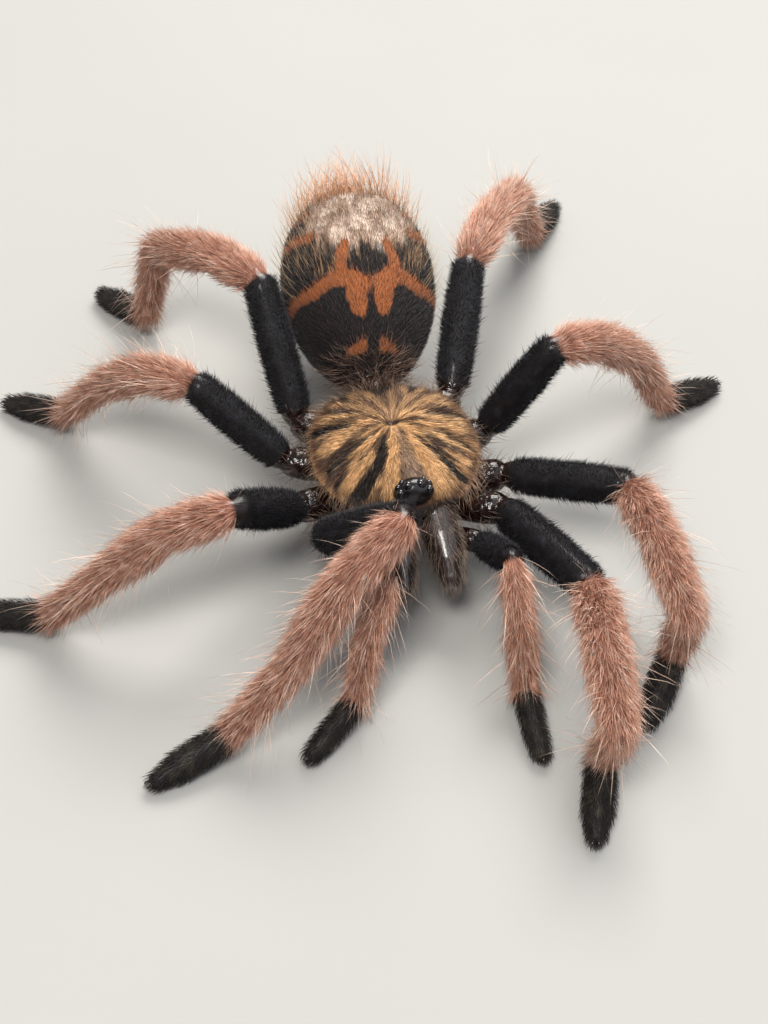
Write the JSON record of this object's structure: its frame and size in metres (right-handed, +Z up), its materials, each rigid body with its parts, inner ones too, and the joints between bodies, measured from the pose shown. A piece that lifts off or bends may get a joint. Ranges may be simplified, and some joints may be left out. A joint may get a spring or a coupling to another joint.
{
  "type": "juvenile green bottle blue tarantula",
  "caption": "Still life-size model of a young hairy tarantula standing on a floor, with black and orange abdomen, golden carapace and salmon legs.",
  "frame": {"origin": "on the floor under the middle of the whole animal's outline", "axes": "+Z up, the spider faces -Y, its left side is +X"},
  "size_m": [0.0404, 0.044, 0.0115],
  "materials": {
    "carapace_hair": "short golden hair with dark rays",
    "abdomen_hair": "black and orange hair with a bronze patch at the rear",
    "femur_velvet": "short velvety black hair",
    "leg_hair": "long soft salmon-orange hair",
    "foot_velvet": "dense charcoal pad hair",
    "dark_cuticle": "glossy dark brown cuticle",
    "eye": "polished black",
    "fang": "polished black-brown"
  },
  "bodies": {
    "root": {"carapace": "carapace_hair", "eye_turret": "eye", "sternum": "dark_cuticle", "pedicel": "dark_cuticle", "abdomen": "abdomen_hair", "chelicera_left": "dark_cuticle", "fang_left": "fang", "spinneret_left": "dark_cuticle", "leg1_left_coxa": "dark_cuticle", "leg1_left_femur": "femur_velvet", "leg1_left_tibia": "leg_hair", "leg1_left_metatarsus": "leg_hair", "leg1_left_tarsus": "foot_velvet", "leg2_left_coxa": "dark_cuticle", "leg2_left_femur": "femur_velvet", "leg2_left_tibia": "leg_hair", "leg2_left_metatarsus": "leg_hair", "leg2_left_tarsus": "foot_velvet", "leg3_left_coxa": "dark_cuticle", "leg3_left_femur": "femur_velvet", "leg3_left_tibia": "leg_hair", "leg3_left_metatarsus": "leg_hair", "leg3_left_tarsus": "foot_velvet", "leg4_left_coxa": "dark_cuticle", "leg4_left_femur": "femur_velvet", "leg4_left_tibia": "leg_hair", "leg4_left_metatarsus": "leg_hair", "leg4_left_tarsus": "foot_velvet", "palp_left_coxa": "dark_cuticle", "palp_left_femur": "femur_velvet", "palp_left_tibia": "leg_hair", "palp_left_tarsus": "foot_velvet", "chelicera_right": "dark_cuticle", "fang_right": "fang", "spinneret_right": "dark_cuticle", "leg1_right_coxa": "dark_cuticle", "leg1_right_femur": "femur_velvet", "leg1_right_tibia": "leg_hair", "leg1_right_metatarsus": "leg_hair", "leg1_right_tarsus": "foot_velvet", "leg2_right_coxa": "dark_cuticle", "leg2_right_femur": "femur_velvet", "leg2_right_tibia": "leg_hair", "leg2_right_metatarsus": "leg_hair", "leg2_right_tarsus": "foot_velvet", "leg3_right_coxa": "dark_cuticle", "leg3_right_femur": "femur_velvet", "leg3_right_tibia": "leg_hair", "leg3_right_metatarsus": "leg_hair", "leg3_right_tarsus": "foot_velvet", "leg4_right_coxa": "dark_cuticle", "leg4_right_femur": "femur_velvet", "leg4_right_tibia": "leg_hair", "leg4_right_metatarsus": "leg_hair", "leg4_right_tarsus": "foot_velvet", "palp_right_coxa": "dark_cuticle", "palp_right_femur": "femur_velvet", "palp_right_tibia": "leg_hair", "palp_right_tarsus": "foot_velvet"}
  },
  "joints": []
}
